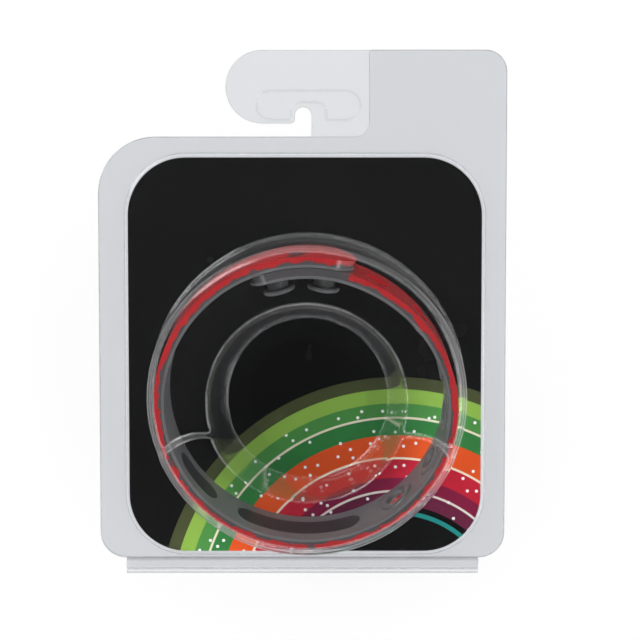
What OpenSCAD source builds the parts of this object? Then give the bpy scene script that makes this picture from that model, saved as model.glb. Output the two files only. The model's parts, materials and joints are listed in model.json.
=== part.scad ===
// Adjustable two-colour silicone wrist strap in its clear clamshell pack.
// The pack lies on its back: X runs to the right, Y towards the hanger, Z up out of the
// front. The origin is the middle of the face it lies on.

/* [Clamshell] */
// Width of the sealed flange
body_w = 86.4; // [82:0.2:96]
// Length of the sealed flange, from the hinge to the hanger
body_h = 89.7; // [88.5:0.1:98]
// Radius of the flange's free upper corner
top_corner_r = 12.1; // [4:0.1:14]
// Radius of the flange's lower corners
bottom_corner_r = 5.5; // [4:0.1:5.6]
// Thickness of the formed sheet
sheet_t = 0.5; // [0.3:0.05:0.6]
// Gap between the two closed sheets
seal_gap = 0.05; // [0.02:0.01:0.08]
// Room between the back sheet and the card
card_room = 0.7; // [0.65:0.05:1.2]

/* [Hanger] */
// Height of the hook's arm
arm_h = 15.4; // [13:0.1:18]
// Gap between the arm and the flange below it
arm_gap = 2.8; // [2:0.1:4]
// How far the arm's round end reaches left of the front tab
arm_reach = 30.3; // [28:0.1:36]
// Width of the notch that takes the peg
notch_w = 3.5; // [2.5:0.1:4]
// Height of the notch above the arm's lower edge
notch_h = 3.4; // [2.8:0.1:3.8]
// Distance from the front tab to the notch's right side
notch_x = 12.14; // [11.9:0.02:14]
// Width of the front sheet's tab
tab_w = 29.1; // [24:0.1:29.6]
// Radius of the hanger's outer corner
tab_corner_r = 4.6; // [2:0.1:7]
// Radius of the tab's inner corner
tab_inner_r = 0.85; // [0.4:0.05:2]
// Radius of the fillet between the tab and the flange
tab_fillet_r = 3; // [1:0.1:4]
// Radius of the fillet from the notch to the arm's lower edge
lip_r = 1; // [0.5:0.1:1.5]
// Height of the stiffening emboss on the arm
emboss_h = 6.1; // [5.8:0.1:7]
// Length of the stiffening emboss
emboss_w = 22; // [20:0.1:22.4]
// How far the emboss stands off the arm
emboss_rise = 0.4; // [0.2:0.05:0.45]
// Margin between the arm's lower edge and the emboss
emboss_margin = 0.8; // [0.7:0.05:1.2]
// Offset of the emboss to the right of the notch's middle
emboss_shift = 1.1; // [0.8:0.05:1.2]
// Margin between the notch's sides and the emboss
hump_margin = 2; // [1.8:0.05:2.4]
// Margin between the notch's top and the emboss
hump_lift = 1.1; // [1:0.05:1.3]

/* [Hinge] */
// Width of the folded hinge
hinge_w = 75.2; // [60:0.2:75.2]
// Length of each hinge leaf below the flange
hinge_h = 3.4; // [3:0.1:4.5]
// How far the front leaf arches
leaf_arch = 0.5; // [0.3:0.05:0.7]
// Running clearance around the fold
fold_gap = 0.05; // [0.03:0.01:0.08]

/* [Card] */
// Width of the printed card
card_w = 74.8; // [73:0.1:76]
// Length of the printed card
card_h = 83.7; // [82:0.1:84]
// Corner radius of the card
card_r = 12.2; // [6:0.1:14]
// Thickness of the card
card_t = 0.4; // [0.25:0.05:0.5]
// Margin between the flange's lower edge and the card
card_lift = 1.6; // [1.3:0.05:2]
// Offset of the card to the right of the pack's middle
card_x = 0.55; // [-1:0.05:1]
// Gap around the card in its tray
card_gap = 0.25; // [0.15:0.05:0.4]

/* [Ring bubble] */
// Offset of the bubble to the right of the pack's middle
bubble_x = 1.14; // [-1:0.02:2]
// Distance of the bubble's middle from the flange's lower edge
bubble_lift = 35.8; // [35.6:0.1:40]
// Least gap between the strap and the bubble's wall
wall_gap = 0.7; // [0.5:0.05:0.9]
// Draft of the bubble's wall, in degrees
draft = 4; // [2:0.25:4.5]
// Rounding inside the crown's edge
crown_r = 1.5; // [0.8:0.1:2]
// Radius of the hub cup's floor
hub_r = 17.2; // [14:0.1:17.6]
// Draft of the hub cup's wall, in degrees
hub_draft = 6.5; // [4:0.25:7]
// How far the hub cup's middle lies below the bubble's
hub_drop = 1.2; // [0:0.1:2]
// How far the lower pocket stands off the crown
pocket_rise = 1.8; // [0.8:0.1:2.2]
// Radius of the pocket's arched ends
arch_r = 10.8; // [9:0.1:12]
// Sideways place of each arch's centre
arch_x = 20.5; // [19:0.1:22]
// Drop of each arch's centre below the strap's axis
arch_drop = 16; // [14:0.1:18]

/* [Strap] */
// Outer radius of the closed strap
strap_r = 30.6; // [29:0.1:30.8]
// Width of the strap
strap_w = 12; // [10:0.1:13]
// Thickness of the strap, both colours together
strap_t = 2.1; // [1.7:0.1:2.4]
// Thickness of the dark inner skin
lining_t = 0.6; // [0.5:0.05:0.8]
// Lean of the strap's axis, in degrees, which lifts its upper side
tilt = 12; // [10:0.25:13]
// Gap between the strap and the card and crown
strap_gap = 0.4; // [0.3:0.05:0.6]
// Gap between the two overlapping ends
layer_gap = 0.1; // [0.05:0.01:0.2]
// Angle of the outer end's tip, clockwise from the top
outer_tip = 19; // [17:0.5:20]
// Angle of the inner end's tip, clockwise from the top
inner_tip = -25; // [-32:0.5:-25]
// Angle over which the strap steps in under its own outer end
step_angle = 90; // [80:1:110]
// Angle of the first hole, clockwise from the top
first_hole = -13.75; // [-15:0.25:-13]
// Angle from one hole to the next
hole_pitch = 21.85; // [20:0.05:22]
// Number of holes
holes = 8; // [4:1:8]
// Radius of each hole
hole_r = 2.4; // [2.2:0.05:2.6]
// Radius of the raised rim around each hole
rim_r = 4; // [3.4:0.1:4.2]
// Height of the rim above the lining
rim_h = 0.35; // [0.2:0.05:0.5]
// Radial clearance between a stud and its hole
stud_gap = 0.3; // [0.1:0.05:0.4]
// Radius of a stud's head
stud_head_r = 3.2; // [2.8:0.05:3.4]
// Thickness of a stud's head
stud_head_t = 1; // [0.8:0.1:1.4]
// How far a stud stands inside the strap's inner end
stud_reach = 3.4; // [2.5:0.1:3.8]
// Width of the inlaid strips
inlay_w = 6; // [3:0.1:6.5]
// Depth of the inlaid strips
inlay_t = 0.3; // [0.15:0.05:0.35]

/* [Hidden] */
$fn = 96;

// Colours of the real pieces
clear = [0.85, 0.87, 0.89, 0.35];
card_black = [0.09, 0.09, 0.09];
band_red = [0.75, 0.16, 0.16];
lining_grey = [0.27, 0.27, 0.28];
inlay_black = [0.12, 0.12, 0.13];

// Past any solid that is cut, a cut's reach past a face, and the least overlap of joined solids
far = 60;
past = 1;
eps = 0.01;
// Corner radius of the emboss's hump, over its width
hump_round = 1 / 3;
// How far the crown's region reaches behind its rounding
skirt = 0.3;
// One turn, in degrees
full_turn = 360;
// Longest stretch of the strap between two points of its outline, in degrees
stretch = 3;
// Radius of a round tip, over half the width that it ends
tip_round = 1.05;

// Places along Y, from the fold's lower edge
flange_y = hinge_h;
flange_end = flange_y + body_h;
arm_y = flange_end + arm_gap;
pack_h = arm_y + arm_h;
card_y = flange_y + card_lift;
bubble_y = flange_y + bubble_lift;

// Places along X: the front tab's left side, and the hook measured from it
tab_left = body_w / 2 - tab_w;
arm_left = tab_left - arm_reach;
notch_right = tab_left - notch_x;
notch_mid = notch_right - notch_w / 2;

// Heights
front_z = sheet_t + seal_gap;
card_top = sheet_t + card_room + card_t;
fold_r = sheet_t + seal_gap / 2;

// The strap's rear edge circle: its middle, with the strap a gap above the card
strap_y = bubble_y + strap_w * sin(tilt) / 2;
strap_z = card_top + strap_gap + strap_r * sin(tilt);

// Inner radius of the bubble at the card, clear of the leaning strap
strap_half = strap_r * cos(tilt) + strap_w * sin(tilt) / 2;
bubble_r = strap_half + wall_gap + (strap_gap + 2 * strap_r * sin(tilt)) * tan(draft);
crown_in = strap_w + strap_gap;
crown_disc_r = strap_r + crown_r;

// The inner end lies one thickness and a gap inside the outer end
inner_r = strap_r - strap_t - layer_gap;
step_start = outer_tip + 3;
step_end = step_start + step_angle;

// How far a stud is drawn into the strap before it is trimmed
root = 0.5;

// Inscribed radius of the closed strap's inner face, which its studs stand on
seat_r = (strap_r - strap_t) * cos(stretch / 2);

// Ends of the two inlaid strips, clockwise from the top
long_span = [157.5, 210.6];
short_span = [221, 245];

function hole_angle(i) = first_hole + i * hole_pitch;

// Radius of the strap's outer face at an angle, easing out from its inner end
function face_r(a) =
    let (part = min(1, max(0, (a - step_start) / step_angle)))
    inner_r + (strap_r - inner_r) * (1 - cos(180 * part)) / 2;

// Points along the strap's path from tip to tip, at a depth below its outer face
function path(depth) =
    let (sweep = full_turn + outer_tip - inner_tip, n = ceil(sweep / stretch))
    [for (i = [0 : n]) let (a = inner_tip + i * sweep / n)
        (face_r(a) - depth) * [sin(a), cos(a)]];

function reversed(list) = [for (i = [len(list) - 1 : -1 : 0]) list[i]];

// ---- Outlines -------------------------------------------------------------

// A rectangle from the origin with its own radius at each corner
module rounded_rect(w, h, bl, br, tr, tl) {
    polygon([
        [bl, 0], [w - br, 0], [w, br], [w, h - tr],
        [w - tr, h], [tl, h], [0, h - tl], [0, bl]
    ]);
    if (bl > 0) translate([bl, bl]) circle(bl);
    if (br > 0) translate([w - br, br]) circle(br);
    if (tr > 0) translate([w - tr, h - tr]) circle(tr);
    if (tl > 0) translate([tl, h - tl]) circle(tl);
}

// A concave fillet that fills the corner up and to the left of the origin
module corner_fillet(r) {
    difference() {
        translate([-r, 0]) square(r);
        translate([-r, r]) circle(r);
    }
}

// The card's outline, grown by d
module card_outline(d) {
    r = card_r + d;
    translate([card_x - card_w / 2 - d, card_y - d])
        rounded_rect(card_w + 2 * d, card_h + 2 * d, r, r, r, r);
}

// The sealed flange, whose right side runs on into the hanger
module flange_outline() {
    translate([-body_w / 2, flange_y])
        rounded_rect(body_w, body_h, bottom_corner_r, bottom_corner_r, 0, top_corner_r);
}

module tab_outline() {
    translate([tab_left, flange_end])
        rounded_rect(tab_w, pack_h - flange_end, 0, 0, tab_corner_r, tab_inner_r);
    translate([tab_left, flange_end]) corner_fillet(tab_fillet_r);
}

// The hook: an arm to the left over a neck, with the peg's notch between them
module hook_outline() {
    difference() {
        union() {
            translate([arm_left, arm_y])
                rounded_rect(body_w / 2 - arm_left, arm_h, arm_h / 2, 0, tab_corner_r, arm_h / 2);
            translate([notch_right, flange_end])
                square([body_w / 2 - notch_right, arm_gap + eps]);
        }
        translate([notch_right - notch_w, arm_y - eps])
            square([notch_w, notch_h - notch_w / 2 + eps]);
        translate([notch_mid, arm_y + notch_h - notch_w / 2]) circle(notch_w / 2);
        translate([notch_right - notch_w, arm_y]) corner_fillet(lip_r);
    }
}

// The emboss around the notch: a slot with a humped lower side, grown by d
module emboss_outline(d) {
    middle = notch_mid + emboss_shift;
    hump_w = notch_w + 2 * hump_margin - 2 * d;
    hump_top = arm_y + notch_h + hump_lift - d;
    hump_r = hump_w * hump_round;
    low = arm_y + emboss_margin - d;
    slot_r = emboss_h / 2 + d;
    difference() {
        translate([middle - emboss_w / 2 - d, low])
            rounded_rect(emboss_w + 2 * d, 2 * slot_r, slot_r, slot_r, slot_r, slot_r);
        translate([middle - hump_w / 2, low - past])
            rounded_rect(hump_w, hump_top - low + past, 0, 0, hump_r, hump_r);
    }
}

// ---- Frames ---------------------------------------------------------------

module in_pack() {
    translate([0, -pack_h / 2, 0]) children();
}

// X to the right, Y up the leaning strap, Z along its axis from its rear edge
module in_strap() {
    in_pack() translate([bubble_x, strap_y, strap_z]) rotate([tilt, 0, 0]) children();
}

// Z up from the card's face through the bubble's middle
module in_bubble() {
    in_pack() translate([bubble_x, bubble_y, card_top]) children();
}

module slab(z0, z1) {
    translate([0, 0, z0]) linear_extrude(z1 - z0) children();
}

// ---- Back shell -----------------------------------------------------------

module back_panel() color(clear) in_pack() slab(0, sheet_t) flange_outline();

module hook_hanger() color(clear) in_pack() difference() {
    union() {
        slab(0, sheet_t) hook_outline();
        slab(0, sheet_t + emboss_rise) emboss_outline(sheet_t);
    }
    slab(-past, emboss_rise) emboss_outline(0);
}

// The round fold along the hinge's axis, grown by d
module fold_bead(d) {
    translate([-hinge_w / 2 - d, fold_r, fold_r]) rotate([0, 90, 0])
        cylinder(h = hinge_w + 2 * d, r = fold_r + d);
}

module hinge_leaf_back() color(clear) in_pack() difference() {
    translate([-hinge_w / 2, fold_r, 0]) cube([hinge_w, hinge_h - fold_r, sheet_t]);
    fold_bead(fold_gap);
}

// ---- Front shell ----------------------------------------------------------

module front_flange() color(clear) in_pack() slab(front_z, front_z + sheet_t) difference() {
    flange_outline();
    card_outline(card_gap + sheet_t);
}

module front_hang_tab() color(clear) in_pack() slab(front_z, front_z + sheet_t) difference() {
    tab_outline();
    flange_outline();
}

// The arched leaf, from the fold to the flange
module leaf_section() {
    foot = 2 * fold_r - sheet_t / 2;
    half = (hinge_h - foot) / 2;
    r = (half * half + leaf_arch * leaf_arch) / (2 * leaf_arch);
    intersection() {
        translate([foot + half, front_z + sheet_t / 2 + leaf_arch - r]) difference() {
            circle(r + sheet_t / 2);
            circle(r - sheet_t / 2);
        }
        translate([0, front_z]) square([hinge_h, far]);
    }
}

module hinge_leaf_front() color(clear) in_pack() {
    translate([-hinge_w / 2, 0, 0]) rotate([90, 0, 90]) linear_extrude(hinge_w) leaf_section();
    fold_bead(0);
}

// The bubble's drafted wall, grown by d, from below the card's face by down
module bubble_cone(d, down) {
    translate([0, 0, -down]) cylinder(h = far / 2,
        r1 = bubble_r + d + down * tan(draft), r2 = bubble_r + d + (down - far / 2) * tan(draft));
}

// Everything behind the round-edged crown, grown by d
module crown_limit(d) {
    r = crown_disc_r + d;
    top = crown_in + d;
    edge = crown_r + d;
    rotate_extrude() {
        translate([0, -far / 2]) square([r, far / 2 + top - edge]);
        square([r - edge, top]);
        intersection() {
            translate([r - edge, top - edge]) circle(edge);
            translate([r - edge - eps, top - edge - eps]) square(edge + eps);
        }
    }
}

// The lower pocket's outline on the crown, with an arch at each end, grown by d
module pocket_outline(d) {
    intersection() {
        circle(crown_disc_r + d);
        union() {
            for (side = [-1, 1]) translate([side * arch_x, -arch_drop]) circle(arch_r + d);
            translate([-far / 2, -far - arch_drop]) square(far);
        }
    }
}

// Everything inside the bubble's skin, grown by d
module bubble_form(d, down) {
    intersection() {
        in_bubble() bubble_cone(d, down);
        in_strap() union() {
            crown_limit(d);
            linear_extrude(crown_in + pocket_rise + d) pocket_outline(d);
        }
    }
}

// The hub cup from a height above the card's face upwards, grown by d
module cup_form(d, start) {
    translate([0, -hub_drop, 0]) translate([0, 0, start]) cylinder(h = far,
        r1 = hub_r + d + start * tan(hub_draft), r2 = hub_r + d + (start + far) * tan(hub_draft));
}

module card_tray() color(clear) difference() {
    in_pack() slab(front_z, card_top + sheet_t) card_outline(card_gap + sheet_t);
    in_pack() slab(-past, card_top) card_outline(card_gap);
    in_bubble() bubble_cone(sheet_t, past);
}

// The bubble's skin without its hub cup
module bubble_skin() {
    difference() {
        bubble_form(sheet_t, 0);
        bubble_form(0, past);
        in_bubble() cup_form(sheet_t, -past);
    }
}

// The space from a little behind the crown's rounding forwards
module crown_zone() {
    in_strap() translate([-far, -far, crown_in - crown_r - skirt]) cube([2 * far, 2 * far, far]);
}

// The bubble's drafted wall
module ring_bubble() color(clear) difference() {
    bubble_skin();
    crown_zone();
}

// The bubble's ring-shaped crown, with its round edge and its lower pocket
module bubble_crown() color(clear) intersection() {
    bubble_skin();
    crown_zone();
}

module hub_cup() color(clear) difference() {
    intersection() {
        in_bubble() cup_form(sheet_t, 0);
        bubble_form(sheet_t, 0);
    }
    in_bubble() cup_form(0, sheet_t);
}

module insert_card() color(card_black) in_pack() slab(card_top - card_t, card_top) card_outline(0);

// ---- Strap ----------------------------------------------------------------

// X clockwise, Y across the band and Z inwards, at an angle, a radius and a place across
module on_radius(a, r, across) {
    rotate([0, 0, -a]) translate([0, r, across]) rotate([90, 0, 0]) children();
}

// What a round tip leaves out beyond an angle, through depth from a radius inwards.
// way is 1 where the tip points clockwise. The tip's circle is a little wider than the
// band, so it crosses the band's sides.
module tip_waste(a, way, outer, depth, half, across) {
    r = half * tip_round;
    on_radius(a, outer, across) difference() {
        translate([way > 0 ? -r : -past, -half - past, 0])
            cube([r + past, 2 * (half + past), depth]);
        translate([-way * r, 0, -past]) cylinder(h = depth + 2 * past, r = r);
    }
}

// Everything inside the middle of the gap between the two layers
module inner_zone() {
    translate([0, 0, -2 * past]) cylinder(h = strap_w + 4 * past, r = inner_r + layer_gap / 2);
}

// The band from tip to tip, between two depths below its outer face. Between the two
// layers of its overlap, each tip's cut stops halfway across the gap.
module band(lo, hi) {
    half = strap_w / 2;
    depth = strap_t + 2 * past;
    difference() {
        linear_extrude(strap_w) polygon(concat(path(lo), reversed(path(hi))));
        difference() {
            tip_waste(outer_tip, 1, strap_r + past, depth, half, half);
            inner_zone();
        }
        intersection() {
            tip_waste(inner_tip, -1, inner_r + past, depth, half, half);
            inner_zone();
        }
    }
}

module hole_cuts() {
    for (i = [0 : holes - 1])
        on_radius(hole_angle(i), face_r(hole_angle(i)) + layer_gap / 2, strap_w / 2)
            cylinder(h = strap_t + rim_h + past, r = hole_r);
}

module strap_outer_skin() color(band_red) in_strap() difference() {
    band(0, strap_t - lining_t);
    hole_cuts();
}

module strap_inner_skin() color(lining_grey) in_strap() difference() {
    union() {
        band(strap_t - lining_t, strap_t);
        for (i = [0 : holes - 1])
            on_radius(hole_angle(i), face_r(hole_angle(i)) - strap_t + lining_t / 4, strap_w / 2)
                cylinder(h = lining_t / 4 + rim_h, r = rim_r);
    }
    hole_cuts();
    inlay_strip(long_span, past);
    inlay_strip(short_span, past);
}

// A strip with round ends let into the lining, reaching past its face by over
module inlay_strip(span, over) {
    bed_r = strap_r - strap_t + inlay_t;
    half = inlay_w / 2;
    difference() {
        rotate([0, 0, 90 - span[1]]) rotate_extrude(angle = span[1] - span[0])
            translate([bed_r - inlay_t - over, strap_w / 2 - half])
                square([inlay_t + over, inlay_w]);
        tip_waste(span[1], 1, strap_r, strap_t + over + past, half, strap_w / 2);
        tip_waste(span[0], -1, strap_r, strap_t + over + past, half, strap_w / 2);
    }
}

// A stud from the outer end's lining, through a hole of the inner end, to its head. It is
// drawn from a root inside the strap and trimmed to the strap's inner face.
module stud(i) {
    length = layer_gap + strap_t + stud_reach;
    intersection() {
        cylinder(h = strap_w, r = seat_r);
        on_radius(hole_angle(i), strap_r - strap_t + root, strap_w / 2) {
            cylinder(h = root + length, r = hole_r - stud_gap);
            translate([0, 0, root + length - stud_head_t])
                cylinder(h = stud_head_t, r = stud_head_r);
        }
    }
}

module closure_stud_1() color(lining_grey) in_strap() stud(0);
module closure_stud_2() color(lining_grey) in_strap() stud(1);
module inlay_long() color(inlay_black) in_strap() inlay_strip(long_span, 0);
module inlay_short() color(inlay_black) in_strap() inlay_strip(short_span, 0);

back_panel();
hook_hanger();
hinge_leaf_back();
front_flange();
card_tray();
ring_bubble();
bubble_crown();
hub_cup();
front_hang_tab();
hinge_leaf_front();
insert_card();
strap_outer_skin();
strap_inner_skin();
closure_stud_1();
closure_stud_2();
inlay_long();
inlay_short();
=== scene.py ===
import json
import math

import bmesh
import bpy
import numpy as np
from mathutils import Matrix, Vector


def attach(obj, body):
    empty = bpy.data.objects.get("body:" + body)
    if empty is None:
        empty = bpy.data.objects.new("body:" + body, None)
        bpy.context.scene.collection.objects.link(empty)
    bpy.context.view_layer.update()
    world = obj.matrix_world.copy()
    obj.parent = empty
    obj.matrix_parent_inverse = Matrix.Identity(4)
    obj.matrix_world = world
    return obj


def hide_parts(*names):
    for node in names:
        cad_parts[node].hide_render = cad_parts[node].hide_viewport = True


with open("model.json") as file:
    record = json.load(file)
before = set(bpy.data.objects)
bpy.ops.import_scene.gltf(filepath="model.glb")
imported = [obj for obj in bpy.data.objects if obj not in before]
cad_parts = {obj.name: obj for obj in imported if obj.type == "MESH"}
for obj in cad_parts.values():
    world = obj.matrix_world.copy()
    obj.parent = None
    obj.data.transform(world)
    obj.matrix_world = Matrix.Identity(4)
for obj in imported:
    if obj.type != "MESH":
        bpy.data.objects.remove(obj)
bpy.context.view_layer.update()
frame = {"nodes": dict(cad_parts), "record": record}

# Sizes are in millimetres and angles in degrees, unless a line says otherwise. The pack lies on
# its back: X runs across it, Y from the hinge to the hanger with 0 halfway, and Z up.
MM = 0.001

# ---- Sizes of the pack, as its solids have them -----------------------------

SHEET = 0.5              # thickness of the clear sheet
SEAL_GAP = 0.05          # gap between the two closed halves
BODY_W = 86.4            # width of the sealed flange
BODY_H = 89.7            # its length, from the hinge to the hanger
HINGE_H = 3.4            # length of the hinge's leaves below the flange
TOP_CORNER_R = 12.1      # the flange's free upper corner
BOTTOM_CORNER_R = 5.5    # its lower corners

ARM_H = 15.4             # height of the hook's arm
ARM_GAP = 2.8            # gap between the arm and the flange below it
ARM_REACH = 30.3         # how far the arm's round end reaches left of the tab
NOTCH_W = 3.5            # width of the notch that takes the peg
NOTCH_H = 3.4            # its height above the arm's lower edge
NOTCH_FROM_TAB = 12.14   # from the tab to the notch's right side
NOTCH_LIP_R = 1.0        # fillet from the notch to the arm's lower edge
TAB_W = 29.1             # width of the front half's tab
TAB_CORNER_R = 4.6       # its outer corner
TAB_INNER_R = 0.85       # its inner corner
TAB_FILLET_R = 3.0       # fillet between the tab and the flange

EMBOSS_W = 22.0          # length of the slot embossed in the arm
EMBOSS_H = 6.1           # its height, without its hump
EMBOSS_MARGIN = 0.8      # from the arm's lower edge to the slot
EMBOSS_SHIFT = 1.1       # how far its middle lies to the right of the notch's
HUMP_W = 7.5             # width of its hump over the notch
HUMP_LIFT = 1.1          # from the notch's top to the hump's
HUMP_R = 2.5             # the hump's upper corners

CARD_W = 74.8            # width of the printed card
CARD_H = 83.7            # its length
CARD_R = 12.2            # its corners
CARD_T = 0.4             # its thickness
CARD_X = 0.55            # how far its middle lies to the right of the pack's
CARD_LIFT = 1.6          # from the flange's lower edge to the card
CARD_ROOM = 0.7          # from the back sheet to the card
CARD_GAP = 0.25          # from the card's edge to the tray's wall

BUBBLE_X = 1.14          # how far the ring bubble's middle lies to the right of the pack's
BUBBLE_LIFT = 35.8       # from the flange's lower edge to the bubble's middle
BUBBLE_R = 33.297        # outer radius of the bubble's wall at the card
DRAFT = 4                # draft of that wall
WALL_EDGE = 0.4          # rounding from the wall to the barrel above it
CROWN_R = 32.6           # outer radius of the barrel, which leans with the strap
CROWN_EDGE = 2.0         # rounding from the barrel to the crown
HUB_R = 17.2             # radius of the hub cup at the card
HUB_DRAFT = 6.5          # draft of its wall
HUB_DROP = 1.2           # how far its middle lies below the bubble's
HUB_EDGE = 1.0           # rounding from the crown to the hub cup

POCKET_RISE = 1.8        # how far the lower pocket stands off the crown
POCKET_SLOPE = 1.1       # length of the slope up to it
ARCH_R = 10.8            # radius of the pocket's two arched ends
ARCH_X = 20.5            # sideways place of each arch's centre
ARCH_DROP = 16.0         # drop of each arch's centre below the strap's axis

# Angles on the strap run clockwise from its top
STRAP_R = 30.6           # outer radius of the closed strap
STRAP_W = 12.0           # its width
STRAP_T = 2.1            # its thickness, both colours together
LINING_T = 0.6           # thickness of the dark lining
STRAP_GAP = 0.4          # from the strap to the card and to the crown
LAYER_GAP = 0.1          # between the two ends where they overlap
TILT = math.radians(12)  # lean of the strap's axis, in radians
INNER_TIP = -25.0        # where the inner end's tip is
OUTER_TIP = 379.0        # where the outer end's tip is, past one full turn
TIP_R = 6.3              # radius of both tips
STEP_START = 22.0        # where the inner end begins to ease out to the full radius
STEP_TURN = 90.0         # how long that takes

HOLES = 8                # number of holes
FIRST_HOLE = -13.75      # where the first one is
HOLE_PITCH = 21.85       # from one hole to the next
HOLE_R = 2.4             # radius of each hole
RIM_R = 4.0              # radius of the raised rim around each hole
RIM_H = 0.35             # height of the rim above the lining
STUD_GAP = 0.3           # gap between a stud and its hole
STUD_HEAD_R = 3.2        # radius of a stud's head
STUD_HEAD_T = 1.0        # thickness of a stud's head
STUD_REACH = 3.4         # how far a stud stands inside the strap's inner end

# Places that follow from the sizes
PACK_H = HINGE_H + BODY_H + ARM_GAP + ARM_H
LEFT, RIGHT = -BODY_W / 2, BODY_W / 2
LOW, TOP = HINGE_H - PACK_H / 2, PACK_H / 2
FLANGE_END = LOW + BODY_H
ARM_LOW = FLANGE_END + ARM_GAP
TAB_LEFT = RIGHT - TAB_W
ARM_LEFT = TAB_LEFT - ARM_REACH
NOTCH_RIGHT = TAB_LEFT - NOTCH_FROM_TAB
NOTCH_LEFT = NOTCH_RIGHT - NOTCH_W
NOTCH_TOP = ARM_LOW + NOTCH_H
FRONT_Z = SHEET + SEAL_GAP
CARD_TOP = SHEET + CARD_ROOM + CARD_T
TRAY_TOP = CARD_TOP + SHEET
CARD_MID = (CARD_X, LOW + CARD_LIFT + CARD_H / 2)
BUBBLE_MID = (BUBBLE_X, LOW + BUBBLE_LIFT)
HUB_MID = (BUBBLE_X, BUBBLE_MID[1] - HUB_DROP)
CROWN_TOP = STRAP_W + STRAP_GAP + SHEET
INNER_R = STRAP_R - STRAP_T - LAYER_GAP
HOLE_ANGLES = FIRST_HOLE + HOLE_PITCH * np.arange(HOLES)
STRAP_AT = (BUBBLE_X, BUBBLE_MID[1] + STRAP_W * math.sin(TILT) / 2,
            CARD_TOP + STRAP_GAP + STRAP_R * math.sin(TILT))

# Faces that would touch, and arcs that would meet halfway along a side, stay this far apart
HAIR = 0.01


def strap_axes(x, y, z):
    """A direction or place of the pack, turned to the strap's axes: to the right, up the strap
    and along its axis."""
    return x, y * math.cos(TILT) + z * math.sin(TILT), z * math.cos(TILT) - y * math.sin(TILT)


def pack_points(u, v, w):
    """Points given along the strap's axes from the middle of its rear edge, as points of the
    pack: turned back by the lean, then moved to the strap's place."""
    return np.stack([STRAP_AT[0] + u, STRAP_AT[1] + v * math.cos(TILT) - w * math.sin(TILT),
                     STRAP_AT[2] + v * math.sin(TILT) + w * math.cos(TILT)], -1)


# ---- Nodes of materials -----------------------------------------------------

def feed(tree, made, inputs):
    """Gives a node its inputs, by name or number: a value, or another node's output to link."""
    for key, value in dict(inputs).items():
        if isinstance(value, bpy.types.NodeSocket):
            tree.links.new(value, made.inputs[key])
        else:
            made.inputs[key].default_value = value


def node(tree, kind, inputs=(), **settings):
    """A node of a kind, with its settings and its inputs."""
    made = tree.nodes.new(kind)
    for key, value in settings.items():
        setattr(made, key, value)
    feed(tree, made, inputs)
    return made


def reckoned(tree, operation, *inputs):
    """The result of a Math node."""
    return node(tree, "ShaderNodeMath", enumerate(inputs), operation=operation).outputs[0]


def blended(tree, share, first, second):
    """Two colours, mixed by the second one's share."""
    mix = node(tree, "ShaderNodeMix", {"Factor": share, "A": first, "B": second}, data_type="RGBA")
    return mix.outputs["Result"]


def rises(tree, value, start, width):
    """A share that goes from 0 to 1 as a value goes from start over a width."""
    return node(tree, "ShaderNodeMapRange",
                {"Value": value, "From Min": start, "From Max": start + width}).outputs[0]


def around_axis(tree, place):
    """A place without its height, and its distance from the Z axis in metres."""
    flat = node(tree, "ShaderNodeVectorMath", {0: place, 1: (1, 1, 0)}, operation="MULTIPLY")
    radius = node(tree, "ShaderNodeVectorMath", {0: flat.outputs[0]}, operation="LENGTH")
    return flat.outputs[0], radius.outputs["Value"]


def facing_up(tree, place):
    """How far a piece's face looks up: 1 for a face that lies flat, and -1 for its back."""
    return node(tree, "ShaderNodeSeparateXYZ", {0: place.outputs["Normal"]}).outputs["Z"]


def paint(red, green, blue):
    """A colour as a socket takes it."""
    return (red, green, blue, 1)


def new_material(name):
    """An empty node material with its Principled shader and its output."""
    mat = bpy.data.materials.new(name)
    mat.use_nodes = True
    tree = mat.node_tree
    tree.nodes.clear()
    shader = tree.nodes.new("ShaderNodeBsdfPrincipled")
    out = node(tree, "ShaderNodeOutputMaterial", {"Surface": shader.outputs[0]})
    return mat, tree, shader, out


def surface_grain():
    """A group that gives the fine unevenness of a moulded or printed face: a height and a slow
    drift between 0 and 1, both from noise on the piece's own coordinates."""
    group = bpy.data.node_groups.new("surface_grain", "ShaderNodeTree")
    for name, default in (("Fine Scale", 2500.0), ("Slow Scale", 60.0)):
        socket = group.interface.new_socket(name, in_out="INPUT", socket_type="NodeSocketFloat")
        socket.default_value = default
    for name in ("Height", "Drift"):
        group.interface.new_socket(name, in_out="OUTPUT", socket_type="NodeSocketFloat")
    start = group.nodes.new("NodeGroupInput")
    end = group.nodes.new("NodeGroupOutput")
    place = group.nodes.new("ShaderNodeTexCoord")
    for source, target in (("Fine Scale", "Height"), ("Slow Scale", "Drift")):
        noise = node(group, "ShaderNodeTexNoise",
                     {"Vector": place.outputs["Object"], "Scale": start.outputs[source],
                      "Detail": 3.0, "Roughness": 0.55})
        feed(group, end, {target: noise.outputs[0]})
    return group


GRAIN = surface_grain()


def grain_in(tree, scales):
    """The grain in a material, with its own scales."""
    return node(tree, "ShaderNodeGroup", scales, node_tree=GRAIN)


def add_grain(tree, shader, fine, slow, bump, rough):
    """Feeds the grain to a shader: its height as bump, its drift as roughness within rough."""
    grain = grain_in(tree, {"Fine Scale": fine, "Slow Scale": slow})
    height = node(tree, "ShaderNodeBump", {"Height": grain.outputs["Height"], "Strength": bump,
                                           "Distance": 0.1 * MM})
    spread = node(tree, "ShaderNodeMapRange", {"Value": grain.outputs["Drift"],
                                               "To Min": rough[0], "To Max": rough[1]})
    feed(tree, shader, {"Normal": height.outputs[0], "Roughness": spread.outputs[0]})
    return grain


# ---- Silicone ---------------------------------------------------------------

# The second colour's patches: the noise from which they begin, and how soft their edge is
CLOUD_FROM, CLOUD_SOFT = 0.60, 0.02
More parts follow.
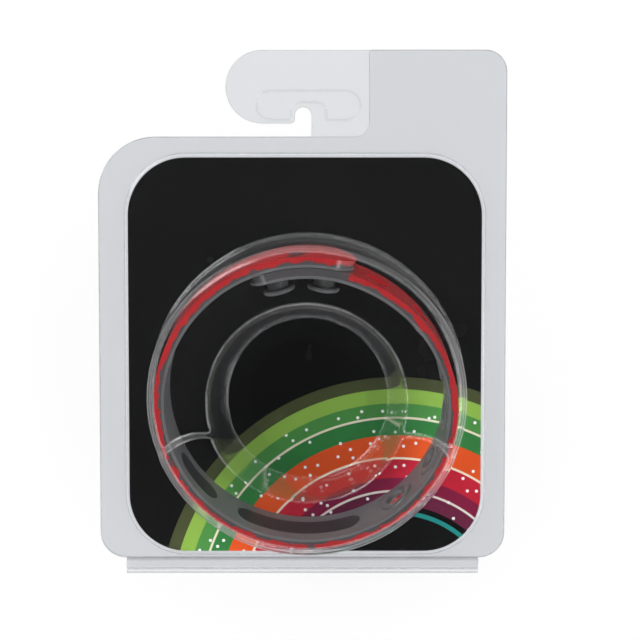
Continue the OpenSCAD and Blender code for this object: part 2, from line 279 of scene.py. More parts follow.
# Its ragged line on the skin's edges: how far noise swings it, and its depth with that swing
LINE_SWING, LINE_AT, LINE_SOFT = 3.2, 2.55, 0.1
# The painted shade over the inner end: its ragged end near the inner tip, the same way as an angle
END_SWING, END_AT, END_SOFT = 30.0, -4.0, 2.0


def second_colour_and_shade(tree):
    """Where the dark second colour lies: it shows in ragged patches and over the skin's inner half
    up to a ragged line, as the second of two colours that met in one mould, and all over the
    inner end it is painted shade, where that end lies under the outer end. The depth is the
    skin's outer radius, which its points carry, less the distance from the strap's axis."""
    place = tree.nodes.new("ShaderNodeTexCoord").outputs["Object"]
    cloud = node(tree, "ShaderNodeTexNoise",
                 {"Vector": place, "Scale": 130.0, "Detail": 5.0, "Roughness": 0.62}).outputs[0]
    ragged = node(tree, "ShaderNodeTexNoise",
                  {"Vector": place, "Scale": 270.0, "Detail": 4.0, "Roughness": 0.68}).outputs[0]
    lean = node(tree, "ShaderNodeMapping",
                {"Vector": place, "Rotation": (-TILT, 0, 0),
                 "Location": [-c * MM for c in strap_axes(*STRAP_AT)]})
    _, radius = around_axis(tree, lean.outputs[0])
    outer = node(tree, "ShaderNodeAttribute", attribute_name="outer_radius").outputs["Fac"]
    along = node(tree, "ShaderNodeAttribute", attribute_name="along").outputs["Fac"]
    depth = reckoned(tree, "SUBTRACT", outer, radius)
    line = reckoned(tree, "MULTIPLY_ADD", ragged, LINE_SWING * MM, depth)
    end = reckoned(tree, "SUBTRACT", reckoned(tree, "MULTIPLY", ragged, END_SWING), along)
    patches = rises(tree, cloud, CLOUD_FROM, CLOUD_SOFT)
    inner_half = rises(tree, line, LINE_AT * MM, LINE_SOFT * MM)
    # Painted shade: the whole inner end, which lies under the outer end, is darkened to the second
    # colour
    inner_end = rises(tree, end, END_AT, END_SOFT)
    return reckoned(tree, "MAXIMUM", reckoned(tree, "MAXIMUM", patches, inner_half), inner_end)


def silicone(name, colour, deep, rough, bump, second=None):
    """Satin moulded silicone, whose colour drifts slowly between two near shades. A second colour
    breaks through the first and is painted as shade over the strap's inner end; both lie under a
    soft gloss."""
    mat, tree, shader, _ = new_material(name)
    grain = add_grain(tree, shader, 3000.0, 90.0, bump, rough)
    shade = blended(tree, grain.outputs["Drift"], paint(*deep), paint(*colour))
    if second:
        shade = blended(tree, second_colour_and_shade(tree), shade, paint(*second))
        feed(tree, shader, {"Coat Weight": 0.6, "Coat Roughness": 0.22})
    feed(tree, shader, {"Base Color": shade, "IOR": 1.43})
    return mat


# ---- Clear sheet ------------------------------------------------------------

# A face that looks up or down by less than this share is a cut edge, which takes painted shade;
# the shade ends over a width
EDGE_FROM, EDGE_SOFT = 0.80, 0.15


def clear_sheet(name, body, cut=None):
    """Clear formed sheet, thin enough to bend no ray that passes it: its gloss is a coat over
    a body that only dims what is behind, and a little sheen whitens it where it is seen along
    its face. cut is a greyer colour, painted as shade on a flat sheet's cut edges, which are
    its faces that turn away from Z. Rays from lamps pass straight through."""
    mat, tree, shader, out = new_material(name)
    colour = paint(*body)
    if cut:
        place = tree.nodes.new("ShaderNodeTexCoord")
        flat = reckoned(tree, "ABSOLUTE", facing_up(tree, place))
        # Painted shade: the cut edges take the greyer colour
        colour = blended(tree, rises(tree, flat, EDGE_FROM, EDGE_SOFT), paint(*cut), colour)
    grain = grain_in(tree, {"Fine Scale": 260.0})
    ripple = node(tree, "ShaderNodeBump", {"Height": grain.outputs["Height"], "Strength": 0.12,
                                           "Distance": 0.2 * MM})
    feed(tree, shader, {
        "Base Color": colour, "Roughness": 0.0, "IOR": 1.01, "Transmission Weight": 1.0,
        "Sheen Weight": 0.09, "Sheen Roughness": 0.25, "Coat Weight": 1.0,
        "Coat Roughness": 0.04, "Coat IOR": 1.5, "Coat Normal": ripple.outputs[0]})
    through = node(tree, "ShaderNodeBsdfTransparent", {"Color": paint(0.92, 0.93, 0.95)})
    path = tree.nodes.new("ShaderNodeLightPath")
    mix = node(tree, "ShaderNodeMixShader", {0: path.outputs["Is Shadow Ray"],
                                             1: shader.outputs[0], 2: through.outputs[0]})
    feed(tree, out, {"Surface": mix.outputs[0]})
    return mat


# ---- Printed card -----------------------------------------------------------

# The print's bands: their centre, and the radius at which each begins with its colour
BANDS_AT = (20.0, -64.0)
INK_BLACK = (0.006, 0.006, 0.006)
BANDS = [
    (0.0, INK_BLACK), (21.0, (0.02, 0.24, 0.22)), (21.8, INK_BLACK),
    (23.0, (0.13, 0.02, 0.05)), (26.0, (0.72, 0.66, 0.60)), (26.4, (0.20, 0.015, 0.05)),
    (29.0, (0.48, 0.02, 0.04)), (33.0, (0.80, 0.70, 0.52)), (33.5, (0.70, 0.09, 0.02)),
    (38.0, (0.035, 0.19, 0.05)), (41.5, (0.72, 0.67, 0.50)), (42.0, (0.07, 0.25, 0.06)),
    (45.0, (0.24, 0.42, 0.07)), (48.0, (0.06, 0.07, 0.03)), (50.5, INK_BLACK),
]
# The radius that the whole colour ramp spans
BANDS_SPAN = 60.0
# The dots: the radii between which they lie, their cells in a metre, and their share of a cell
DOTS_FROM, DOTS_TO, DOT_CELLS, DOT_SHARE = 23.0, 45.0, 260.0, 0.085


def printed_bands(tree, radius):
    """The colour of the bands at a distance from their centre."""
    ramp = node(tree, "ShaderNodeValToRGB",
                {0: reckoned(tree, "MULTIPLY", radius, 1 / (BANDS_SPAN * MM))})
    ramp.color_ramp.interpolation = "CONSTANT"
    stops = ramp.color_ramp.elements
    for stop, (at, ink) in zip(stops, (BANDS[0], BANDS[-1])):
        stop.position = at / BANDS_SPAN
        stop.color = paint(*ink)
    for at, ink in BANDS[1:-1]:
        stops.new(at / BANDS_SPAN).color = paint(*ink)
    return ramp.outputs["Color"]


def printed_dots(tree, flat, radius):
    """Where the small dots are: the middles of a scatter of cells, over some of the bands."""
    cells = node(tree, "ShaderNodeTexVoronoi", {"Vector": flat, "Scale": DOT_CELLS},
                 voronoi_dimensions="2D")
    small = reckoned(tree, "LESS_THAN", cells.outputs["Distance"], DOT_SHARE)
    past = reckoned(tree, "GREATER_THAN", radius, DOTS_FROM * MM)
    before = reckoned(tree, "LESS_THAN", radius, DOTS_TO * MM)
    return reckoned(tree, "MULTIPLY", small, reckoned(tree, "MULTIPLY", past, before))


def printed_card():
    """Satin black card with plain concentric bands about a point below its lower edge, and
    small white dots on the bands. Its edges and its back are plain pale board. The card bears
    no lettering."""
    mat, tree, shader, _ = new_material("printed_card")
    place = tree.nodes.new("ShaderNodeTexCoord")
    shift = node(tree, "ShaderNodeMapping",
                 {"Vector": place.outputs["Object"],
                  "Location": (-BANDS_AT[0] * MM, -BANDS_AT[1] * MM, 0)})
    flat, radius = around_axis(tree, shift.outputs[0])
    ink = blended(tree, printed_dots(tree, flat, radius), printed_bands(tree, radius),
                  paint(0.85, 0.85, 0.83))
    grain = add_grain(tree, shader, 1800.0, 50.0, 0.05, (0.22, 0.3))
    board = blended(tree, grain.outputs["Height"], paint(0.50, 0.48, 0.44),
                    paint(0.60, 0.585, 0.55))
    front = reckoned(tree, "GREATER_THAN", facing_up(tree, place), 0.5)
    feed(tree, shader, {"Base Color": blended(tree, front, board, ink),
                        "Specular IOR Level": 0.2})
    return mat


# ---- Finishes ---------------------------------------------------------------

FRONT_BODY = (0.955, 0.962, 0.97)
# The back sheet's body is darker than the front's, though both halves are one clear sheet: painted
# shade of the back half that lies against the floor
BACK_BODY_SHADED = (0.785, 0.795, 0.815)
# Painted shade for the flat sheets' cut edges
CUT_EDGE_SHADE = (0.50, 0.51, 0.53)
FORMED_CLEAR = clear_sheet("clear_formed_front", FRONT_BODY)
FRONT_CLEAR = clear_sheet("clear_front_sheet", FRONT_BODY, CUT_EDGE_SHADE)
BACK_CLEAR_SHADED = clear_sheet("clear_back_sheet", BACK_BODY_SHADED, CUT_EDGE_SHADE)
# The red's dark second colour shows in ragged patches and on the edges' inner half, and is painted
# as shade over the inner end
RED = silicone("red_silicone", (0.36, 0.019, 0.021), (0.26, 0.012, 0.014), (0.18, 0.30), 0.12,
               second=(0.052, 0.048, 0.050))
DARK = silicone("dark_silicone", (0.115, 0.113, 0.113), (0.07, 0.07, 0.07), (0.28, 0.42), 0.15)
INLAY = silicone("inlay_silicone", (0.018, 0.018, 0.02), (0.012, 0.012, 0.014), (0.45, 0.6), 0.1)
FINISHES = {"clear_sheet": FRONT_CLEAR, "printed_card": printed_card(), "red_silicone": RED,
            "dark_silicone": DARK, "inlay": INLAY}
for part in frame["record"]["subparts"]:
    shown = frame["nodes"][part["node"]]
    shown.data.materials.clear()
    shown.data.materials.append(FINISHES[part["material_slot"]])
# The back hinge leaf takes the back sheet's painted shade too
frame["nodes"]["hinge_leaf_back"].data.materials[0] = BACK_CLEAR_SHADED


# ---- Making of pieces -------------------------------------------------------

# Points of a piece that are this near to each other are one, and so short an edge is no edge
SAME_POINT, NO_EDGE = 0.002, 0.001


def in_scene(name, data):
    """An object for a mesh, a curve, a lamp or a camera, linked to the scene."""
    held = bpy.data.objects.new(name, data)
    bpy.context.scene.collection.objects.link(held)
    return held


def finished(name, mesh, material, body, replaced):
    """A mesh as a piece that rides on a body, in the place of the nodes that it replaces."""
    mesh.materials.clear()
    mesh.materials.append(material)
    piece = in_scene(name, mesh)
    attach(piece, body)
    if replaced:
        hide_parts(*replaced)
    return piece


def grid_quads(rows, cols, wrap=False):
    """Quads between the neighbours of a grid of points that is stored row by row. wrap joins
    the last column to the first."""
    r, c = np.meshgrid(np.arange(rows - 1), np.arange(cols if wrap else cols - 1), indexing="ij")
    d = (c + 1) % cols
    return np.stack([r * cols + c, (r + 1) * cols + c, (r + 1) * cols + d, r * cols + d],
                    axis=-1).reshape(-1, 4)


def add_piece(name, points, quads, material, slot, body, replaced=(), **fields):
    """A smooth piece from points in millimetres and quads. Points that coincide are merged, so
    seams and poles close, and faces left without area go. fields are numbers that its points
    carry for its material."""
    mesh = bpy.data.meshes.new(name)
    mesh.from_pydata((np.asarray(points).reshape(-1, 3) * MM).tolist(), [], quads.tolist())
    for field, values in fields.items():
        mesh.attributes.new(field, "FLOAT", "POINT").data.foreach_set("value", values)
    work = bmesh.new()
    work.from_mesh(mesh)
    bmesh.ops.remove_doubles(work, verts=work.verts, dist=SAME_POINT * MM)
    bmesh.ops.dissolve_degenerate(work, edges=work.edges, dist=NO_EDGE * MM)
    work.to_mesh(mesh)
    work.free()
    mesh.polygons.foreach_set("use_smooth", np.ones(len(mesh.polygons), dtype=bool))
    return finished(name, mesh, material, body, replaced)


def thicken(piece, thickness):
    """Gives a surface its wall, from its face inwards."""
    wall = piece.modifiers.new("wall", "SOLIDIFY")
    wall.thickness = thickness * MM
    wall.offset = -1.0
    wall.use_even_offset = True


def round_edges(piece, width):
    """Rounds the edges at which a piece's faces turn by more than 40 degrees."""
    edge = piece.modifiers.new("round_edges", "BEVEL")
    edge.width = width * MM
    edge.segments = 3
    edge.limit_method = "ANGLE"
    edge.angle_limit = math.radians(40)
    edge.harden_normals = True


def outline(corners, arc=14):
    """A closed outline from corners (x, y, radius): each corner becomes an arc that touches
    both its sides, whether it turns left or right."""
    spot = np.array([c[:2] for c in corners], dtype=float)
    radius = np.array([c[2] for c in corners], dtype=float)
    before = np.roll(spot, 1, axis=0) - spot
    after = np.roll(spot, -1, axis=0) - spot
    before /= np.linalg.norm(before, axis=1, keepdims=True)
    after /= np.linalg.norm(after, axis=1, keepdims=True)
    half = np.arccos(np.clip((before * after).sum(1), -1, 1)) / 2
    inward = before + after
    inward /= np.linalg.norm(inward, axis=1, keepdims=True)
    centre = spot + inward * (radius / np.sin(half))[:, None]
    first = spot + before * (radius / np.tan(half))[:, None] - centre
    last = spot + after * (radius / np.tan(half))[:, None] - centre
    start = np.arctan2(first[:, 1], first[:, 0])
    turn = np.arctan2(last[:, 1], last[:, 0]) - start
    turn = (turn + math.pi) % (2 * math.pi) - math.pi
    angle = start[:, None] + turn[:, None] * np.linspace(0, 1, arc)
    return (centre[:, None] + radius[:, None, None]
            * np.stack([np.cos(angle), np.sin(angle)], -1)).reshape(-1, 2)


def sideways(path):
    """Unit directions across a closed path, to its right: each is square to the line from the
    point before to the point after."""
    ahead = np.roll(path, -1, axis=0) - np.roll(path, 1, axis=0)
    side = np.stack([ahead[:, 1], -ahead[:, 0]], -1)
    return side / np.linalg.norm(side, axis=1, keepdims=True)


# ---- Flat sheets ------------------------------------------------------------

# The round of a sheet's cut edge, and of the tight inner corners of the hook and its emboss
CUT_R, TIGHT_R = 0.2, 0.4
# The emboss line's half width, and its height over that
BEAD_R, BEAD_RISE = 0.35, 0.6


def card_edge(spread):
    """The card's outline moved outwards by spread: a rounded rectangle whose corners keep
    their centres."""
    x, y = CARD_MID
    w, h, r = CARD_W / 2 + spread, CARD_H / 2 + spread, CARD_R + spread
    return outline([(x - w, y - h, r), (x + w, y - h, r), (x + w, y + h, r), (x - w, y + h, r)],
                   arc=24)


def cut_sheet(name, outlines, low, material, body, replaced):
    """A flat sheet that lies from a height upwards, with a round cut edge: a filled curve
    around its outlines, each drawn in by the edge's radius, that becomes a mesh."""
    data = bpy.data.curves.new(name, "CURVE")
    data.dimensions = "2D"
    data.fill_mode = "BOTH"
    data.extrude = (SHEET / 2 - CUT_R) * MM
    data.bevel_depth = CUT_R * MM
    data.bevel_resolution = 2
    data.offset = -CUT_R * MM
    for points in outlines:
        spline = data.splines.new("POLY")
        spline.points.add(len(points) - 1)
        places = np.c_[points * MM, np.zeros(len(points)), np.ones(len(points))]
        spline.points.foreach_set("co", places.ravel())
        spline.use_cyclic_u = True
    held = in_scene(name + "_outline", data)
    drawn = held.evaluated_get(bpy.context.evaluated_depsgraph_get())
    mesh = bpy.data.meshes.new_from_object(drawn)
    mesh.name = name
    bpy.data.objects.remove(held)
    mesh.transform(Matrix.Translation((0, 0, (low + SHEET / 2) * MM)))
    work = bmesh.new()
    work.from_mesh(mesh)
    bmesh.ops.remove_doubles(work, verts=work.verts, dist=SAME_POINT * MM)
    bmesh.ops.recalc_face_normals(work, faces=work.faces)
    work.to_mesh(mesh)
    work.free()
    finished(name, mesh, material, body, replaced)


def front_sheet():
    """The front half's flange with its tab, open where the tray rises for the card."""
    flange = outline([
        (LEFT, LOW, BOTTOM_CORNER_R), (RIGHT, LOW, BOTTOM_CORNER_R),
        (RIGHT, TOP, TAB_CORNER_R), (TAB_LEFT, TOP, TAB_INNER_R),
        (TAB_LEFT, FLANGE_END, TAB_FILLET_R), (LEFT, FLANGE_END, TOP_CORNER_R)])
    cut_sheet("front_sheet", [flange, card_edge(CARD_GAP + SHEET)], FRONT_Z, FRONT_CLEAR,
              "front_shell", ("front_flange", "front_hang_tab"))


def back_sheet():
    """The back half with its hook: an arm with a half round end, and the notch below it."""
    arm_r, notch_r = ARM_H / 2 - HAIR, NOTCH_W / 2 - HAIR
    panel = outline([
        (LEFT, LOW, BOTTOM_CORNER_R), (RIGHT, LOW, BOTTOM_CORNER_R), (RIGHT, TOP, TAB_CORNER_R),
        (ARM_LEFT, TOP, arm_r), (ARM_LEFT, ARM_LOW, arm_r), (NOTCH_LEFT, ARM_LOW, NOTCH_LIP_R),
        (NOTCH_LEFT, NOTCH_TOP, notch_r), (NOTCH_RIGHT, NOTCH_TOP, notch_r),
        (NOTCH_RIGHT, FLANGE_END, TIGHT_R), (LEFT, FLANGE_END, TOP_CORNER_R)])
    cut_sheet("back_sheet", [panel], 0.0, BACK_CLEAR_SHADED, "back_shell", ("back_panel", "hook_hanger"))


def hook_emboss(sides=12):
    """The line embossed in the hook, a long slot with a hump over the notch, as a low bead half
    sunk in the sheet: a flattened circle carried along the slot's outline."""
    middle = NOTCH_RIGHT - NOTCH_W / 2 + EMBOSS_SHIFT
    left, right = middle - EMBOSS_W / 2, middle + EMBOSS_W / 2
    hump_left, hump_right = middle - HUMP_W / 2, middle + HUMP_W / 2
    low, end_r = ARM_LOW + EMBOSS_MARGIN, EMBOSS_H / 2 - HAIR
    top, hump_top = low + EMBOSS_H, NOTCH_TOP + HUMP_LIFT
    path = outline([
        (left, low, end_r), (hump_left, low, TIGHT_R), (hump_left, hump_top, HUMP_R),
        (hump_right, hump_top, HUMP_R), (hump_right, low, TIGHT_R), (right, low, end_r),
        (right, top, end_r), (left, top, end_r)])
    angle = np.linspace(0, 2 * math.pi, sides, endpoint=False)[:, None, None]
    flat = path + BEAD_R * np.cos(angle) * sideways(path)
    height = np.broadcast_to(SHEET + BEAD_RISE * BEAD_R * np.sin(angle), (sides, len(path), 1))
    rows = np.concatenate([flat, height], -1)
    rows = np.concatenate([rows, rows[:1]])
    add_piece("hook_emboss", rows, grid_quads(len(rows), len(path), True)[:, ::-1], FORMED_CLEAR,
              "clear_sheet", "back_shell")


# ---- Formed front -----------------------------------------------------------

# Fillets: of the tray at the flange and at its top, and of the bubble and the hub at the tray
FOOT_R, SHOULDER_R, SKIRT_R = 0.3, 0.55, 0.8
# The circle inside the bubble from which rays go out to its walls and crown
RAYS_R, RAYS_Z = 25.2, 6.0
# How far a ray looks for the bubble's face, and how often that length is halved
RAY_LENGTH, HALVINGS = 40.0, 34
UPWARD = np.array([0, 0, 1])


def rounded(a, b, r):
    """Two distances to faces as one distance to their edge, rounded to radius r: inside, the
    greater one, and near both faces the length of what each is over -r."""
    return np.minimum(-r, np.maximum(a, b)) + np.hypot(np.maximum(a + r, 0), np.maximum(b + r, 0))


def outside_bubble(x, y, z):
    """Distance outside the ring bubble's front face: the edge between the drafted wall, the
    leaning barrel and the crown, then the rim between the crown and the hub's drafted wall.
    The crown steps up inside the pocket: two arches joined by a straight band."""
    u, v, w = strap_axes(x - STRAP_AT[0], y - STRAP_AT[1], z - STRAP_AT[2])
    up = z - CARD_TOP
    wall_r = BUBBLE_R - up * math.tan(math.radians(DRAFT))
    wall = np.hypot(x - BUBBLE_MID[0], y - BUBBLE_MID[1]) - wall_r
    barrel = np.hypot(u, v) - CROWN_R
    in_arch = ARCH_R - np.hypot(np.abs(u) - ARCH_X, v + ARCH_DROP)
    step = np.clip(np.maximum(in_arch, -ARCH_DROP - v) / POCKET_SLOPE + 0.5, 0, 1)
    crown = w - CROWN_TOP - POCKET_RISE * step * step * (3 - 2 * step)
    hub_r = HUB_R + up * math.tan(math.radians(HUB_DRAFT))
    hub = hub_r - np.hypot(x - HUB_MID[0], y - HUB_MID[1])
    return np.maximum(rounded(rounded(wall, barrel, WALL_EDGE), crown, CROWN_EDGE),
                      rounded(crown, hub, HUB_EDGE))


def reach(start, way):
    """How far each ray goes from its start before it leaves the bubble, found by halving."""
    low, high = np.zeros(way.shape[:-1]), np.full(way.shape[:-1], RAY_LENGTH)
    for _ in range(HALVINGS):
        middle = (low + high) / 2
        spot = start + way * middle[..., None]
        out = outside_bubble(spot[..., 0], spot[..., 1], spot[..., 2]) > 0
        low, high = np.where(out, low, middle), np.where(out, middle, high)
    return low


def evenly_along(loop, count):
    """Points at equal steps along a closed outline."""
    step = np.linalg.norm(np.roll(loop, -1, axis=0) - loop, axis=1)
    length = np.concatenate([[0], np.cumsum(step)])
    closed = np.vstack([loop, loop[:1]])
    place = np.linspace(0, length[-1], count, endpoint=False)
    return np.stack([np.interp(place, length, closed[:, k]) for k in (0, 1)], -1)


def tray_rows(edge):
    """The tray around the card, from the flange inwards: a fillet out of the flange, a round
    shoulder and the flat top, each by its distance outside the card's edge and its height."""
    wall, flange_top = CARD_GAP + SHEET, FRONT_Z + SHEET
    turn = np.linspace(0, math.pi / 2, 5)
    spread = np.concatenate([wall + HAIR + FOOT_R * (1 - np.sin(turn)),
                             wall - SHOULDER_R * (1 - np.cos(turn)), [-0.6, -2.0]])
    height = np.concatenate([flange_top + HAIR + FOOT_R * (1 - np.cos(turn)),
                             TRAY_TOP - SHOULDER_R * (1 - np.sin(turn)), [TRAY_TOP, TRAY_TOP]])
    heights = np.broadcast_to(height[:, None, None], (len(height), len(edge), 1))
    return np.concatenate([edge + spread[:, None, None] * sideways(edge), heights], -1)


def formed_front(columns=320, rays=96):
    """The formed middle of the front sheet as one surface, from its foot on the flange to the
    hub's floor. Each column starts at a point of the card's edge and runs to the bubble's
    middle: the tray's rows, a fillet, then the points where rays from a circle inside the
    bubble leave it, a fillet again, and the floor."""
    edge = evenly_along(card_edge(0.0), columns)
    middle = np.array([BUBBLE_X, (BUBBLE_MID[1] + HUB_MID[1]) / 2])
    away = edge - middle
    away /= np.linalg.norm(away, axis=1, keepdims=True)
    outward = np.c_[away, np.zeros(columns)]
    circle = np.c_[middle + RAYS_R * away, np.full(columns, RAYS_Z)]
    low = np.c_[middle + RAYS_R * away, np.full(columns, TRAY_TOP + SKIRT_R)]
    outer, inner = reach(low, outward), reach(low, -outward)

    def skirt(side, distance):
        """A fillet from the tray's top to a wall, at a distance from the circle on one side."""
        swing = np.linspace(0, math.pi / 2, 6)[:, None, None]
        out = distance[:, None] + SKIRT_R * (1 - np.sin(swing))
        return low + side * outward * out - SKIRT_R * np.cos(swing) * UPWARD

    rise = low[0, 2] - RAYS_Z
    first, last = np.arctan2(rise, outer), math.pi - np.arctan2(rise, inner)
    angle = first + (last - first) * np.linspace(0, 1, rays)[:, None]
    way = np.cos(angle)[..., None] * outward + np.sin(angle)[..., None] * UPWARD
    bubble = circle + way * reach(np.broadcast_to(circle, way.shape), way)[..., None]

    inside = skirt(-1, inner)[::-1]
    hub = np.array([*HUB_MID, TRAY_TOP])
    floor = hub + (inside[-1] - hub) * np.array([0.75, 0.4, 0.0])[:, None, None]
    rows = np.concatenate([tray_rows(edge), skirt(1, outer), bubble, inside, floor])
    piece = add_piece("formed_front", rows, grid_quads(len(rows), columns, True)[:, ::-1],
                      FORMED_CLEAR, "clear_sheet", "front_shell",
                      ("card_tray", "ring_bubble", "bubble_crown", "hub_cup"))
    thicken(piece, SHEET)


front_sheet()
back_sheet()
hook_emboss()
formed_front()


# ---- Strap ------------------------------------------------------------------

HOLE_STRETCH = 10.4      # half the length of a stretch with a hole, in degrees
SIDE_STEPS = 16          # steps along each side of such a stretch
PLAIN_STEP = 1.5         # degrees from point to point of the plain stretch
END_STRETCH = 12.0       # degrees at the outer end over which the points draw together
END_POINTS = 20          # points in that stretch
# Rounding of the two skins' edges, and what the lining stays short of its full thickness
OUTER_ROUND, LINING_ROUND, LINING_ROOM = 0.55, 0.18, 0.02


def face_r(a):
    """The closed strap's outer radius at an angle: it eases out from the inner end's radius
    along half a cosine."""
    part = np.clip((a - STEP_START) / STEP_TURN, 0, 1)
    return INNER_R + (STRAP_R - INNER_R) * (1 - np.cos(math.pi * part)) / 2


def half_width(a, least=0.05):
    """Half the strap's width at an angle: a circle a little wider than the strap at each tip."""
    inside = np.radians(np.minimum(a - INNER_TIP, OUTER_TIP - a)) * STRAP_R
    inside = np.clip(inside, 0.0, TIP_R)
    round_tip = np.sqrt(np.maximum(TIP_R ** 2 - (TIP_R - inside) ** 2, least ** 2))
    return np.minimum(STRAP_W / 2, round_tip)


def strip(angles):
    """A plain stretch of the strap: angle by place across."""
    a, q = np.meshgrid(angles, np.linspace(-1, 1, SIDE_STEPS + 1), indexing="ij")
    return np.stack([a, STRAP_W / 2 + q * half_width(a)], -1), grid_quads(*a.shape)


def holed_patch(at):
    """A stretch of the strap around a hole: a circle that widens in steps to a frame, which
    fits the stretches beside it."""
    sides, ones = np.linspace(-1, 1, SIDE_STEPS + 1)[:-1], np.ones(SIDE_STEPS)
    a = at + HOLE_STRETCH * np.concatenate([ones, -sides, -ones, sides])
    q = np.concatenate([sides, ones, -sides, -ones])
    frame_at = np.stack([a, STRAP_W / 2 + q * half_width(a)], -1)
    turn = np.radians(-45 + np.arange(len(a)) * 360 / len(a))
    degrees_per_mm = math.degrees(1 / float(face_r(at)))
    circle = np.stack([at + HOLE_R * np.cos(turn) * degrees_per_mm,
                       STRAP_W / 2 + HOLE_R * np.sin(turn)], -1)
    widened = np.array([0, 0.08, 0.2, 0.4, 0.7, 1.0])[:, None, None]
    return circle * (1 - widened) + frame_at * widened, grid_quads(len(widened), len(a), True)


def strap_plan():
    """The strap laid flat from tip to tip, as angles and places across with their quads: plain
    stretches and stretches with a hole. Its points draw together towards each tip, by the
    square of their place."""
    inner_end = HOLE_ANGLES[0] - HOLE_STRETCH - INNER_TIP
    parts = [strip(INNER_TIP + inner_end * np.linspace(0, 1, 3) ** 2)]
    parts += [holed_patch(at) for at in HOLE_ANGLES]
    parts += [strip(np.array([a + HOLE_STRETCH, b - HOLE_STRETCH]))
              for a, b in zip(HOLE_ANGLES, HOLE_ANGLES[1:])]
    plain = np.arange(HOLE_ANGLES[-1] + HOLE_STRETCH, OUTER_TIP - END_STRETCH, PLAIN_STEP)
    tip = OUTER_TIP - (END_STRETCH - 0.5) * np.linspace(1, 0, END_POINTS) ** 2
    parts += [strip(plain), strip(np.concatenate([plain[-1:], tip]))]
    starts = np.cumsum([0] + [points.size // 2 for points, _ in parts])
    plan = np.concatenate([points.reshape(-1, 2) for points, _ in parts])
    return plan, np.concatenate([quads + at for (_, quads), at in zip(parts, starts)])


def strap_skin(node_name, depth, thickness, material, slot, rounding):
    """One colour of the strap in place of its node, as a sheet at a depth below the outer face,
    with its eight holes, thickened inwards: the flat strap, wound to the closed one's radius."""
    plan, quads = strap_plan()
    turn, outer = np.radians(plan[:, 0]), face_r(plan[:, 0])
    r = outer - depth
    points = pack_points(r * np.sin(turn), r * np.cos(turn), plan[:, 1])
    piece = add_piece(node_name + "_moulded", points, quads[:, ::-1], material, slot, "strap",
                      (node_name,), along=plan[:, 0], outer_radius=outer * MM)
    thicken(piece, thickness)
    round_edges(piece, rounding)


def on_face(angle, r, x, y, inward):
    """Points beside a place on the strap: x along it, y across it and inward towards its axis."""
    turn = np.radians(angle)
    u = (r - inward) * np.sin(turn) + x * np.cos(turn)
    v = (r - inward) * np.cos(turn) - x * np.sin(turn)
    return pack_points(u, v, STRAP_W / 2 + y)


def revolved(profile, around=48):
    """A profile (distance from an axis, distance along it) turned about the axis: across,
    across again, along, and the quads."""
    turn = np.linspace(0, 2 * math.pi, around, endpoint=False)
    r, h = profile[:, 0, None], profile[:, 1, None]
    along = np.broadcast_to(h, (len(profile), around))
    return r * np.cos(turn), r * np.sin(turn), along, grid_quads(len(profile), around, True)


def hole_rims():
    """A raised rim around each hole on the strap's inner face: a profile with a round top,
    turned about the hole's axis and laid on the curve of the face."""
    root = -0.5
    profile = np.array([
        [HOLE_R, root], [HOLE_R, RIM_H - 0.2], [HOLE_R + 0.1, RIM_H - 0.07],
        [HOLE_R + 0.3, RIM_H], [RIM_R - 0.5, RIM_H], [RIM_R - 0.2, RIM_H - 0.09],
        [RIM_R - 0.02, 0.05], [RIM_R, root], [HOLE_R, root]])
    x, y, h, ring = revolved(profile)
    rows, quads = [], []
    for k, at in enumerate(HOLE_ANGLES):
        base = float(face_r(at)) - STRAP_T
        sag = base - np.sqrt(base ** 2 - x ** 2)
        rows.append(on_face(at, base, x, y, h + sag))
        quads.append(ring + k * x.size)
    add_piece("hole_rims", np.concatenate(rows), np.concatenate(quads), DARK, "dark_silicone",
              "strap")


def closure_stud(node_name, at):
    """A stud through the inner end in place of its node: a stem, a slope out to its head, and
    a head with a round edge and a flat face."""
    stem, tip, edge_r = HOLE_R - STUD_GAP, LAYER_GAP + STRAP_T + STUD_REACH, STUD_HEAD_T / 2
    root, slope, edge_w = 0.05, 0.2, 0.84 * edge_r
    turn = np.linspace(-math.pi / 2, math.pi / 2, 7)
    head_edge = np.stack([STUD_HEAD_R - edge_w + edge_w * np.cos(turn),
                          tip - edge_r + edge_r * np.sin(turn)], -1)
    profile = np.concatenate([
        [[0.0, root], [stem, root], [stem, tip - STUD_HEAD_T - slope],
         [stem + slope, tip - STUD_HEAD_T]],
        head_edge, [[STUD_HEAD_R / 2, tip], [0.0, tip]]])
    x, y, h, quads = revolved(profile)
    add_piece(node_name + "_moulded", on_face(at, STRAP_R - STRAP_T, x, y, h), quads[:, ::-1],
              DARK, "dark_silicone", "strap", (node_name,))


OUTER_T = STRAP_T - LINING_T
strap_skin("strap_outer_skin", 0.0, OUTER_T, RED, "red_silicone", OUTER_ROUND)
strap_skin("strap_inner_skin", OUTER_T, LINING_T - LINING_ROOM, DARK, "dark_silicone",
           LINING_ROUND)
hole_rims()
closure_stud("closure_stud_1", HOLE_ANGLES[0])
closure_stud("closure_stud_2", HOLE_ANGLES[1])


# ---- Surroundings -----------------------------------------------------------

# The floor's half side in metres, its drop below the pack, and how white it is seen
FLOOR_HALF, FLOOR_DROP, FLOOR_WHITE = 1.5, 0.05, 0.85
# The room's light by the height of its direction: from the floor's edge to straight up
ROOM = [(0.0, 0.6), (0.30, 0.7), (0.38, 0.9), (0.41, 4.0), (0.54, 4.0), (0.59, 0.5), (0.72, 0.05),
        (1.0, 0.03)]
# Rays that pass the clear sheets see plain white below this height
WHITE_BELOW = 0.14
# What the lamps face, in metres
LAMPS_AIM = Vector((0, -0.01, 0.01))


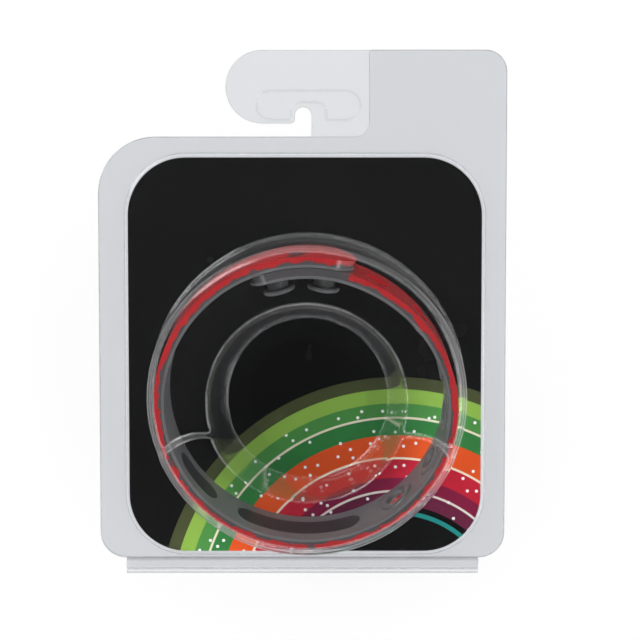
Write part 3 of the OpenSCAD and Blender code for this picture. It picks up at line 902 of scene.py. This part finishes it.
def lay_floor():
    """A wide pale floor a hair under the pack. The camera, reflections and refractions see it
    nearly white, and it keeps the pack's shadow."""
    half, low = FLOOR_HALF, -FLOOR_DROP * MM
    mesh = bpy.data.meshes.new("floor")
    mesh.from_pydata([(-half, -half, low), (half, -half, low), (half, half, low),
                      (-half, half, low)], [], [(0, 1, 2, 3)])
    mat, tree, shader, out = new_material("pale_floor")
    feed(tree, shader, {"Base Color": paint(0.93, 0.93, 0.93), "Roughness": 0.9})
    path = tree.nodes.new("ShaderNodeLightPath")
    seen = reckoned(tree, "MAXIMUM", path.outputs["Is Camera Ray"], path.outputs["Is Glossy Ray"])
    seen = reckoned(tree, "MAXIMUM", seen, path.outputs["Is Transmission Ray"])
    glow = node(tree, "ShaderNodeEmission", {"Color": paint(1, 1, 1), "Strength": 1.0})
    mix = node(tree, "ShaderNodeMixShader", {0: reckoned(tree, "MULTIPLY", seen, FLOOR_WHITE),
                                             1: shader.outputs[0], 2: glow.outputs[0]})
    feed(tree, out, {"Surface": mix.outputs[0]})
    mesh.materials.append(mat)
    in_scene("floor", mesh)


def set_world():
    """A room with a narrow bright band around it and a dark ceiling over the camera's place.
    The camera sees it plain white, and so do rays that pass the clear sheets near the floor."""
    world = bpy.data.worlds.new("studio")
    world.use_nodes = True
    tree = world.node_tree
    place = tree.nodes.new("ShaderNodeTexCoord").outputs["Generated"]
    height = node(tree, "ShaderNodeSeparateXYZ", {0: place}).outputs["Z"]
    light = node(tree, "ShaderNodeValToRGB", {0: height})
    stops = light.color_ramp.elements
    for stop, (at, level) in zip(stops, (ROOM[0], ROOM[-1])):
        stop.position = at
        stop.color = paint(level, level, level)
    for at, level in ROOM[1:-1]:
        stops.new(at).color = paint(level, level, level)
    path = tree.nodes.new("ShaderNodeLightPath")
    passed = reckoned(tree, "MULTIPLY", path.outputs["Is Transmission Ray"],
                      reckoned(tree, "LESS_THAN", height, WHITE_BELOW))
    seen = reckoned(tree, "MAXIMUM", path.outputs["Is Camera Ray"], passed)
    feed(tree, tree.nodes["Background"],
         {"Color": blended(tree, seen, light.outputs["Color"], paint(1, 1, 1))})
    bpy.context.scene.world = world


def add_lamp(name, at, side, power):
    """A soft square lamp that faces the middle of the pack. Its place and side are in metres."""
    lamp = bpy.data.lights.new(name, "AREA")
    lamp.size = side
    lamp.energy = power
    held = in_scene(name, lamp)
    held.location = at
    held.rotation_euler = (LAMPS_AIM - Vector(at)).to_track_quat("-Z", "Y").to_euler()


def set_camera(target, distance, lift, span):
    """Looks down at the pack's face. lift leans the camera from the face's normal towards the
    hanger, in radians, and span is the width that fits the frame at the target."""
    toward = Vector((0, math.sin(lift), math.cos(lift)))
    up = Vector((0, math.cos(lift), -math.sin(lift)))
    data = bpy.data.cameras.new("camera")
    data.sensor_fit = "HORIZONTAL"
    data.angle = 2 * math.atan(span / 2 / distance)
    data.clip_start = 0.01
    camera = in_scene("camera", data)
    place = Matrix((up.cross(toward), up, toward)).transposed().to_4x4()
    place.translation = (Vector(target) + toward * distance) * MM
    camera.matrix_world = place
    bpy.context.scene.camera = camera


lay_floor()
set_world()
add_lamp("key", (-0.36, 0.30, 0.40), 0.30, 1.2)
add_lamp("fill", (0.42, -0.14, 0.36), 0.30, 0.6)
set_camera((3.75, -1.25, 1.6), 300.0, math.radians(3), 135.6)
bpy.context.scene.view_settings.view_transform = "Standard"
